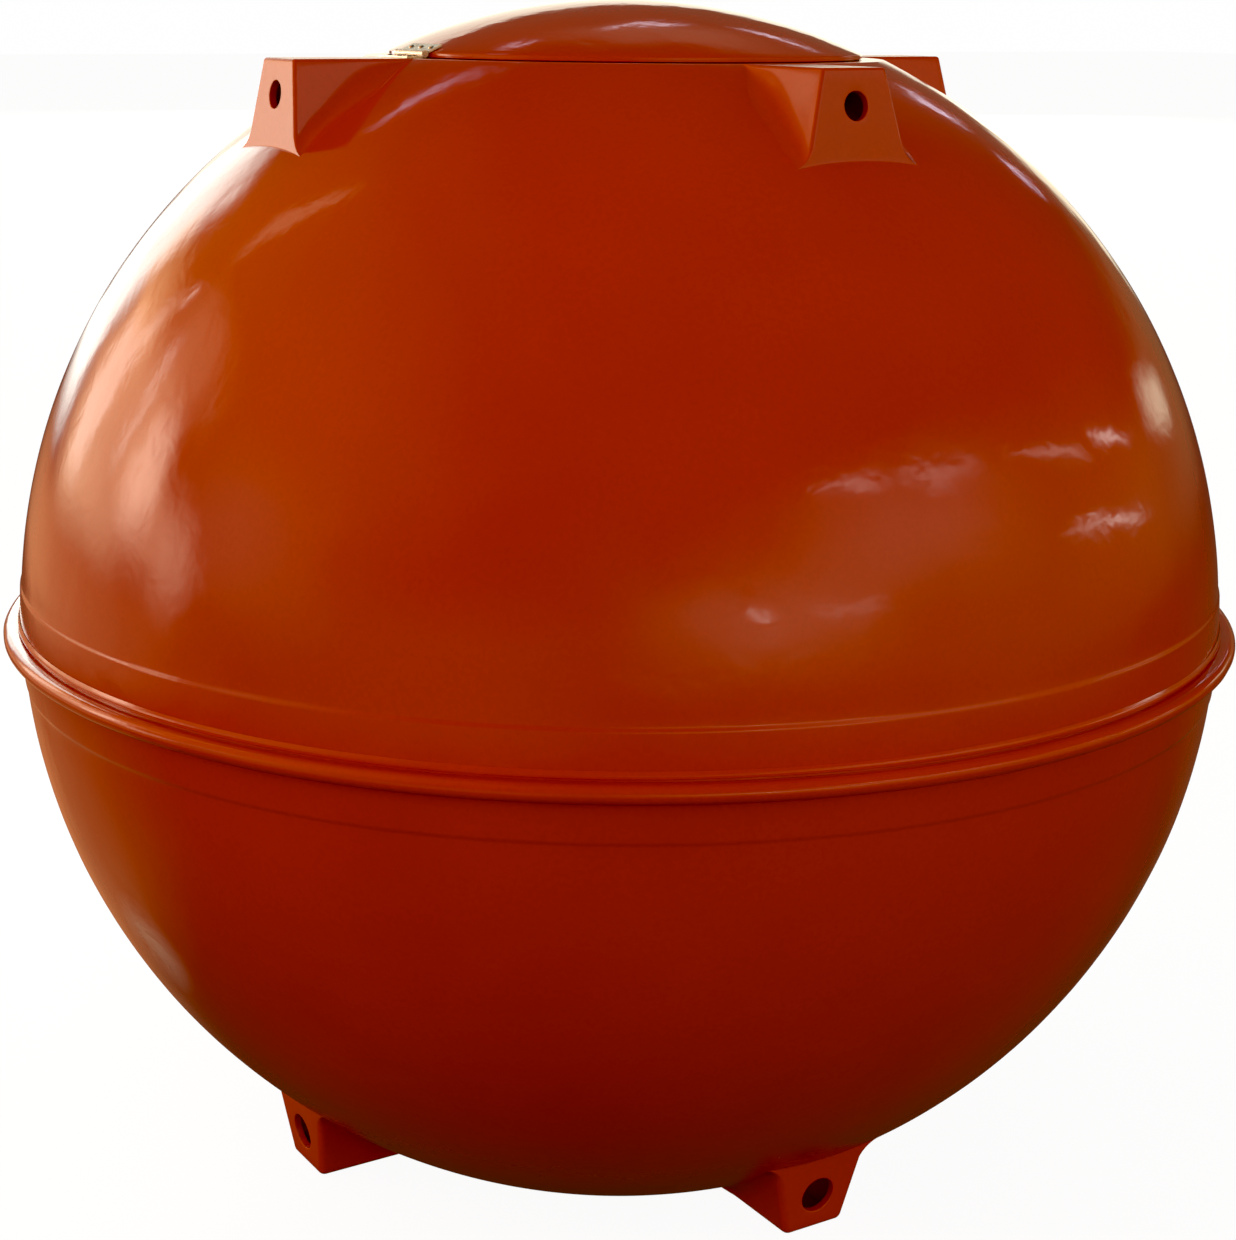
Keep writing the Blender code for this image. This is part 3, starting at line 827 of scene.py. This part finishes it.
# Lid seal
# A flat strip of EPDM rubber, extruded, cut and glued on the seat: dull black, finely pitted, with
# a grey bloom. Closed, it shows only as a dark line.
SEAL_BOTTOM = 0.7273
SEAL_TOP = 0.7300
SEAL_INNER_RADIUS = 0.278
SEAL_OUTER_RADIUS = 0.302
RUBBER = mottled_material(
    "black_rubber_strip", 22.0, ("#17161A", "#2C2A2C"), (0.62, 0.8),
    grain={"Scale": 900.0, "Detail": 2.0, "Roughness": 0.6},
    relief={"Strength": 0.4, "Distance": 0.0002}, surface={"IOR": 1.5},
)
seal = turned("rubber_seal_strip", [
    (SEAL_OUTER_RADIUS, SEAL_TOP, 0.0008), (SEAL_OUTER_RADIUS, SEAL_BOTTOM, 0.0003),
    (SEAL_INNER_RADIUS, SEAL_BOTTOM, 0.0003), (SEAL_INNER_RADIUS, SEAL_TOP, 0.0008),
], RUBBER, segments=200)
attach(seal, "tank")
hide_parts("lid_seal")

# Manhole lid
# A shallow dome of the same gelcoat and laminate, 5 mm thick, bonded on a flat rim that rests on
# the seal. The rim's trimmed edge shows as a thin bright line above the dark seam.
LID_RADIUS = 0.306
LID_RIM_INNER_RADIUS = 0.270
RIM_BOTTOM = 0.7303
RIM_TOP = 0.7335
RIM_DROP = 0.7280  # the rim's edge hangs over the seal's
RIM_DROP_RADIUS = 0.3033
DOME_RADIUS = 0.3045
DOME_RISE = 0.065
DOME_WALL = 0.005
DOME_BOTTOM = 0.7338
DOME_ROWS = 26
DOME_BOND = 0.0002  # the dome's foot is sunk this far in the rim
LID_GELCOAT = polyester_gelcoat("polyester_gelcoat_lid", 0.0010, 0.06, 0.10)
dome_curve = (DOME_RADIUS**2 + DOME_RISE**2) / (2 * DOME_RISE)
dome_centre = DOME_BOTTOM + DOME_RISE - dome_curve


def dome_run(curve, rows, upwards):
    """Section corners over the dome, from its pole to its foot or back."""
    slope = acos((DOME_BOTTOM - dome_centre) / curve)
    run = []
    for row in range(rows + 1):
        angle = slope * (1 - row / rows if upwards else row / rows)
        run.append((curve * sin(angle), dome_centre + curve * cos(angle), 0.0))
    return run


outer_dome = dome_run(dome_curve, DOME_ROWS, upwards=False)
outer_dome[-1] = (*outer_dome[-1][:2], 0.0008)
inner_dome = dome_run(dome_curve - DOME_WALL, DOME_ROWS // 2, upwards=True)
foot_bottom = RIM_TOP - DOME_BOND
foot = [(outer_dome[-1][0], foot_bottom, 0.0), (inner_dome[0][0], foot_bottom, 0.0)]
dome = turned(
    "lid_dome_moulding", outer_dome + foot + inner_dome, LID_GELCOAT, closed=False, segments=200,
    depth=0.0016, size=0.16, fade=2.0,
)
rim = turned("lid_rim_flange", [
    (LID_RADIUS, RIM_TOP, 0.0011), (LID_RADIUS, RIM_DROP, 0.0008), (RIM_DROP_RADIUS, RIM_DROP, 0.0),
    (RIM_DROP_RADIUS, RIM_BOTTOM, 0.0),
    (LID_RIM_INNER_RADIUS, RIM_BOTTOM, 0.0008), (LID_RIM_INNER_RADIUS, RIM_TOP, 0.0008),
], LID_GELCOAT, segments=200)
for piece, node in ((dome, "lid_dome"), (rim, "lid_rim")):
    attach(piece, "lid")
    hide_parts(node)
for face in dome.data.polygons:
    if face.normal.z < 0.0:
        face.material_index = 1
dome.data.materials.append(LAMINATE)

# Lid hinge
# A pressed steel butt hinge, 76 by 50 mm, bright zinc plated, one leaf on the left lug and one up
# the lid. Leaves and pin show as the solids have them. Three slotted screws hold each leaf.
HINGE_AXIS = Vector((-0.3112, 0.0, 1.45934))
HINGE_TILT = radians(24.10)
LEAF_WALL = 0.0022
LEAF_GAP = 0.0003  # under the fixed leaf
SCREW_DISTANCE = 0.0160  # from the hinge's axis
SCREW_COUNT = 3
SCREW_PITCH = 0.0260
SCREW_HEAD_RADIUS = 0.0036
SCREW_HEAD_HEIGHT = 0.0015  # low enough to clear each other when the lid is thrown back
SCREW_SLOT = 0.0009
SCREW_SLOT_DEPTH = 0.0009
# Zinc plate: cold, fairly bright metal with fine drawn lines and dull patches.
ZINC = mottled_material(
    "zinc_plated_steel", 130.0, ("#E8E6E2", "#CFCBC4"), (0.22, 0.38),
    grain={"Scale": 420.0, "Detail": 2.0, "Roughness": 0.6},
    relief={"Strength": 0.3, "Distance": 0.0001}, surface={"Metallic": 1.0}, stretch=(1.0, 12.0, 1.0),
)
for node in ("hinge_leaf_fixed", "hinge_leaf_lid", "hinge_pin"):
    hinge_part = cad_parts[node]
    hinge_part.data.materials.clear()
    hinge_part.data.materials.append(ZINC)


def screw_head():
    """One low round head with its slot, upright at the origin."""
    shape = bmesh.new()
    bmesh.ops.create_uvsphere(shape, u_segments=24, v_segments=12, radius=1.0)
    bmesh.ops.bisect_plane(
        shape, geom=shape.verts[:] + shape.edges[:] + shape.faces[:], plane_co=(0, 0, -0.05),
        plane_no=(0, 0, 1), clear_inner=True,
    )
    bmesh.ops.holes_fill(shape, edges=shape.edges)
    size = Matrix.Diagonal((SCREW_HEAD_RADIUS, SCREW_HEAD_RADIUS, SCREW_HEAD_HEIGHT, 1.0))
    bmesh.ops.transform(shape, matrix=size, verts=shape.verts)
    head = as_object(shape, "screw_head")
    slot_shape = bmesh.new()
    bmesh.ops.create_cube(slot_shape, size=1.0)
    cut_size = Matrix.Diagonal((SCREW_HEAD_RADIUS * 2.2, SCREW_SLOT, SCREW_SLOT_DEPTH * 2, 1.0))
    lift = Matrix.Translation((0.0, 0.0, SCREW_HEAD_HEIGHT))
    bmesh.ops.transform(slot_shape, matrix=lift @ cut_size, verts=slot_shape.verts)
    return cut_out(head, as_object(slot_shape, "screw_slot"), "slotted_head", 30.0)


def screw_tree():
    """A row of screw heads along Y, each turned by its own amount as a screwdriver left it."""
    tree = new_node_tree("screw_row", [
        ("Head", "Object", None), ("Count", "Int", SCREW_COUNT), ("Pitch", "Float", SCREW_PITCH),
        ("Start", "Vector", None), ("Tilt", "Float", 0.0), ("Seed", "Int", 1),
        ("Material", "Material", None),
    ])
    given = add(tree, "NodeGroupInput").outputs
    step = add(tree, "ShaderNodeCombineXYZ", None, {"Y": given["Pitch"]})
    row = add(
        tree, "GeometryNodeMeshLine", None,
        {"Count": given["Count"], "Start Location": given["Start"], "Offset": step},
    )
    head = add(tree, "GeometryNodeObjectInfo", None, {"Object": given["Head"]})
    spin = add(
        tree, "FunctionNodeRandomValue", {"data_type": "FLOAT", 2: 0.0, 3: pi}, {"Seed": given["Seed"]},
    )
    lean = add(tree, "ShaderNodeCombineXYZ", None, {"Y": given["Tilt"]})
    heads = add(
        tree, "GeometryNodeInstanceOnPoints", None,
        {"Points": row, "Instance": head.outputs["Geometry"], "Rotation": lean},
    )
    turn = add(tree, "ShaderNodeCombineXYZ", None, {"Z": spin.outputs[1]})
    driven = add(
        tree, "GeometryNodeRotateInstances", {"Local Space": True},
        {"Instances": heads, "Rotation": turn},
    )
    return end_tree(tree, given, driven)


SCREWS = screw_tree()
head = screw_head()
leaf_top = FLAT_HEIGHT + JOINT_HEIGHT + LEAF_GAP + LEAF_WALL
lid_spot = HINGE_AXIS + Vector((
    SCREW_DISTANCE * cos(HINGE_TILT) - LEAF_WALL / 2 * sin(HINGE_TILT), 0.0,
    SCREW_DISTANCE * sin(HINGE_TILT) + LEAF_WALL / 2 * cos(HINGE_TILT),
))
for body, spot, tilt, seed in (
    ("tank", Vector((HINGE_AXIS.x - SCREW_DISTANCE, 0.0, leaf_top)), 0.0, 4),
    ("lid", lid_spot, -HINGE_TILT, 9),
):
    carrier = put_in("screw_row_" + body, bpy.data.meshes.new("screw_row_" + body))
    run_tree(carrier, SCREWS, {
        "Head": head, "Start": (spot.x, spot.y - SCREW_PITCH, spot.z), "Tilt": tilt, "Seed": seed,
        "Material": ZINC,
    })
    screws = as_piece(carrier, "hinge_screws_" + body, 30.0)
    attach(screws, body)
bpy.data.objects.remove(head)

# Floor
# A plain pale workshop floor, for the stage only. It is kept out of the tank's reflections,
# because the real floor was dark.
FLOOR_HEIGHT = -0.0003
FLOOR_REACH = 60.0
floor_mesh = bpy.data.meshes.new("pale_floor")
floor_corners = [
    (x * FLOOR_REACH, y * FLOOR_REACH, FLOOR_HEIGHT) for x, y in ((-1, -1), (1, -1), (1, 1), (-1, 1))
]
floor_mesh.from_pydata(floor_corners, [], [(0, 1, 2, 3)])
floor = put_in("pale_floor", floor_mesh)
floor_material, floor_tree = new_material("pale_floor_paint")
floor_place = add(floor_tree, "ShaderNodeTexCoord").outputs["Object"]
floor_noise = add(
    floor_tree, "ShaderNodeTexNoise", {"Scale": 1.7, "Detail": 4.0, "Roughness": 0.6},
    {"Vector": floor_place},
)
floor_colour = add(
    floor_tree, "ShaderNodeMix",
    {"data_type": "RGBA", 6: linear("#504F4E"), 7: linear("#4C4B4A")}, {0: floor_noise},
)
floor_shader = add(
    floor_tree, "ShaderNodeBsdfPrincipled",
    {"Roughness": 0.85, "Emission Color": linear("#FFFFFF"), "Emission Strength": 0.945},
    {"Base Color": floor_colour.outputs[2]},
)
add(floor_tree, "ShaderNodeOutputMaterial", None, {"Surface": floor_shader})
floor_mesh.materials.append(floor_material)
floor.visible_glossy = False
floor.visible_diffuse = False

# Studio light
# Even soft light from a pale world, brighter from above and from the camera's side, and warmer
# low down. Soft panels are seen in the gloss alone: tall bright windows to the left and behind,
# and thin rows of tubes to the right. Four more give light without being mirrored.
NEAR = 3.0  # metres from the tank; near panels slide over the gloss as the hall's windows do
FILL_DISTANCE = 12.0
world = bpy.data.worlds.new("pale_studio")
bpy.context.scene.world = world
world.use_nodes = True
world.cycles.sampling_method = "NONE"
sky = world.node_tree
sky.nodes.clear()
sky_place = add(sky, "ShaderNodeTexCoord").outputs["Generated"]
sky_height = add(
    sky, "ShaderNodeVectorMath",
    {"operation": "DOT_PRODUCT", 1: (-0.091, -0.146, 0.985)}, {0: sky_place},
).outputs["Value"]
sky_level = add(
    sky, "ShaderNodeMapRange",
    {
        "From Min": -0.46, "From Max": 0.38, "To Min": 0.001, "To Max": 0.390,
        "interpolation_type": "SMOOTHSTEP",
    },
    {"Value": sky_height},
)
sky_tint = add(sky, "ShaderNodeMapRange", {"From Min": -0.50, "From Max": 0.10}, {"Value": sky_height})
sky_colour = add(
    sky, "ShaderNodeMix",
    {"data_type": "RGBA", 6: linear("#FFB878"), 7: linear("#FFFFFF")}, {0: sky_tint},
)
# The gloss sees a dim even sky, and the camera a white one.
ray = add(sky, "ShaderNodeLightPath")
soft_sky = add(
    sky, "ShaderNodeBackground", None, {"Color": sky_colour.outputs[2], "Strength": sky_level},
)
mirror_sky = add(sky, "ShaderNodeBackground", {"Color": linear("#FFE0CC"), "Strength": 0.052})
seen_sky = add(sky, "ShaderNodeBackground", {"Color": linear("#FFFFFF"), "Strength": 0.995})
lit = add(
    sky, "ShaderNodeMixShader", None, {0: ray.outputs["Is Glossy Ray"], 1: soft_sky, 2: mirror_sky},
)
whole = add(sky, "ShaderNodeMixShader", None, {0: ray.outputs["Is Camera Ray"], 1: lit, 2: seen_sky})
add(sky, "ShaderNodeOutputWorld", None, {"Surface": whole})


def panel(name, azimuths, heights, radiance, colour, soft=0.25, roll=0.0, distance=30.0):
    """A panel seen from the tank between two azimuths and two elevations, in degrees.

    It fades out over the soft share of its width and height at each edge.
    """
    turn = radians(sum(azimuths) / 2)
    rise = radians(sum(heights) / 2)
    data = bpy.data.lights.new(name, "AREA")
    data.shape = "RECTANGLE"
    data.size = 2 * distance * tan(radians(azimuths[1] - azimuths[0]) / 2) * cos(rise)
    data.size_y = 2 * distance * tan(radians(heights[1] - heights[0]) / 2)
    data.energy = radiance * pi * data.size * data.size_y
    data.color = linear(colour)[:3]
    data.use_nodes = True
    tree = data.node_tree
    tree.nodes.clear()
    where = add(tree, "ShaderNodeNewGeometry").outputs["Parametric"]
    sides = add(tree, "ShaderNodeSeparateXYZ", None, {0: where})
    fades = []
    for axis in (0, 1):
        middle = add(tree, "ShaderNodeMath", {"operation": "SUBTRACT", 1: 0.5}, {0: sides.outputs[axis]})
        off = add(tree, "ShaderNodeMath", {"operation": "ABSOLUTE"}, {0: middle})
        fades.append(add(
            tree, "ShaderNodeMapRange",
            {"interpolation_type": "SMOOTHSTEP", "From Min": 0.5, "From Max": 0.5 - soft},
            {"Value": off},
        ))
    fade = add(tree, "ShaderNodeMath", {"operation": "MULTIPLY"}, {0: fades[0], 1: fades[1]})
    glow = add(tree, "ShaderNodeEmission", None, {"Strength": fade})
    add(tree, "ShaderNodeOutputLight", None, {"Surface": glow})
    item = put_in(name, data)
    out = Vector((cos(turn) * cos(rise), sin(turn) * cos(rise), sin(rise)))
    item.location = TANK_CENTRE + out * distance
    facing = out.to_track_quat("Z", "Y").to_matrix() @ Matrix.Rotation(radians(roll), 3, "Z")
    item.rotation_euler = facing.to_euler()
    item.visible_camera = False
    item.visible_diffuse = False
    return item


PEACH = "#FFD6AC"
for near in (
    ("window_left_white", (84, 114), (0, 38), 3.4, "#F8FFF4"),
    ("window_left_warm", (104, 132), (20, 31), 1.0, "#FFD090"),
    ("window_left_bar", (117, 127), (3, 24), 1.4, "#FFF4F0"),
    ("window_left_pane", (125, 128), (7, 30), 1.6, "#FFFAF4", 0.3),
    ("window_left_lamp", (128, 131.5), (28, 33), 4.0, "#FFF0DC", 0.4),
    ("window_left_pane_far", (136, 138.5), (10, 30), 2.2, "#FFF4EC", 0.3),
    ("window_left_haze", (128, 161), (18, 38), 1.45, "#FFCCA0", 0.45, -20),
    ("window_left_peach", (108, 154), (-2, 29), 3.0, "#FFD4A4", 0.3),
    ("window_left_far", (134, 170), (1, 21), 3.1, "#FFD4A8", 0.45, -35),
    ("window_left_bright", (141, 153), (4, 26), 2.7, "#FFE6D4", 0.4),
    ("window_left_bright_low", (154, 168), (-1, 16), 1.2, "#FFDCBC", 0.45),
    ("window_left_fade", (146, 200), (-4, 32), 0.9, "#FFC8A0", 0.5),
    ("wall_left_low", (84, 178), (-14, 5), 1.1, "#FFB880", 0.4),
    ("wall_left", (90, 212), (8, 66), 1.05, "#FFA440", 0.45),
    ("wall_left_high", (90, 220), (44, 80), 0.45, "#FF9430", 0.45),
    ("beam_left", (129, 135), (36, 58), 1.2, PEACH, 0.35),
):
    panel(*near, distance=NEAR)
panel("beam_high", (74, 100), (43.8, 46.8), 2.7, "#D8E4FF", 0.45, -8)
panel("floor_left", (70, 158), (-46, -9), 0.55, "#FFA468", 0.4, distance=NEAR)
panel("floor_back", (-4, 120), (-34, -6), 0.10, "#FF9040", 0.40)
panel("wall_back", (24, 84), (-8, 50), 0.10, "#FFE0B8")
panel("haze_back", (38, 70), (30, 46), 0.20, "#FFE8C8", 0.4, 20)
panel("window_back", (41.6, 85.6), (-3.4, 18.6), 1.35, "#FFFAE4", 0.06, 28)
panel("window_back_right", (36, 46), (-3, 10), 1.3, "#FFF8D8")
panel("beam_back", (50, 63), (33.0, 34.0), 3.2, "#F4ECFF", 0.4, 44)
panel("beam_back_left", (67, 73), (38.5, 39.5), 2.6, "#F4ECFF", 0.4, -4)
panel("beam_back_low", (41.8, 51.2), (25.4, 26.2), 4.2, "#F4ECFF", 0.4, 29)
panel("beam_right_upper", (32.5, 39.5), (20.6, 21.4), 8.0, "#F0ECFF", 0.4, 55)
panel("beam_right_lower", (27.5, 33), (16.0, 16.8), 8.0, "#F0ECFF", 0.4, 55)
panel("yard_right", (-20, 44), (-8, 14), 0.16, "#FFF0A0", 0.35)
panel("tubes_high_front", (-84, -66), (28.0, 29.2), 5.0, "#FFF2E8", 0.4, -6)
panel("tubes_high_middle", (-68, -44), (25.8, 26.8), 4.6, "#FFF2E8", 0.4, -10)
panel("tubes_high_right", (-42, -16), (18.5, 19.3), 4.6, "#FFF2E8", 0.4, -24)
panel("tubes_high_back", (-19, -3), (12.7, 13.9), 5.6, "#FFF6EC", 0.4, -25)
panel("gate_right", (2, 22), (2.8, 9.2), 1.6, "#FCFAD8", 0.4, -24)
panel("haze_high_middle", (-98, -30), (6, 36), 0.6, "#FFE4D8", 0.45, -8)
panel("cloud_low_front", (-126, -64), (-4, 22), 0.75, "#FFE8D4", 0.5)
panel("tubes_low_front", (-100, -94), (8.5, 11.5), 3.4, "#FFF6EC", 0.4, -30)
panel("tubes_low_middle", (-90, -72), (9.4, 10.6), 2.6, "#FFF6EC", 0.4)
panel("tubes_low_right", (-36, -4), (5.9, 7.1), 4.0, "#FFF6EC", 0.4, -15)
panel("hall_right", (-130, 6), (-18, 36), 0.55, "#FFC458", 0.45)
panel("hall_front", (150, 246), (-18, 16), 0.32, "#FFC440", 0.35)
for fill in (
    ("window_fill", (145, 205), (-8, 40), 1.75, PEACH),
    ("hall_fill", (-70, 16), (-18, 14), 1.15, "#FFFFFF"),
    ("front_fill", (-140, -50), (4, 28), 1.4, "#FFFFFF"),
    ("top_fill", (20, 100), (55, 85), 0.6, "#FFFFFF"),
):
    unseen = panel(*fill, distance=FILL_DISTANCE)
    unseen.visible_diffuse = True
    unseen.visible_glossy = False

# Camera
# At the photograph's place: 1.52 m above the floor, 3.1 m from the tank's axis, 15 degrees down.
camera_data = bpy.data.cameras.new("photo_camera")
camera_data.sensor_width = 36.0
camera_data.lens = 67.33
camera = put_in("photo_camera", camera_data)
heading = Matrix.Rotation(radians(-31.98), 4, "Z")
pitch = Matrix.Rotation(radians(90 - 14.93), 4, "X")
roll = Matrix.Rotation(radians(0.61), 4, "Z")
camera.matrix_world = Matrix.Translation((-1.6434, -2.6285, 1.5232)) @ heading @ pitch @ roll
bpy.context.scene.camera = camera
# The photograph's plain contrast, with the faintest greys sunk to black as a compact camera does.
view = bpy.context.scene.view_settings
view.view_transform = "Standard"
view.use_curve_mapping = True
view.curve_mapping.black_level = (0.006, 0.008, 0.015)
view.curve_mapping.update()
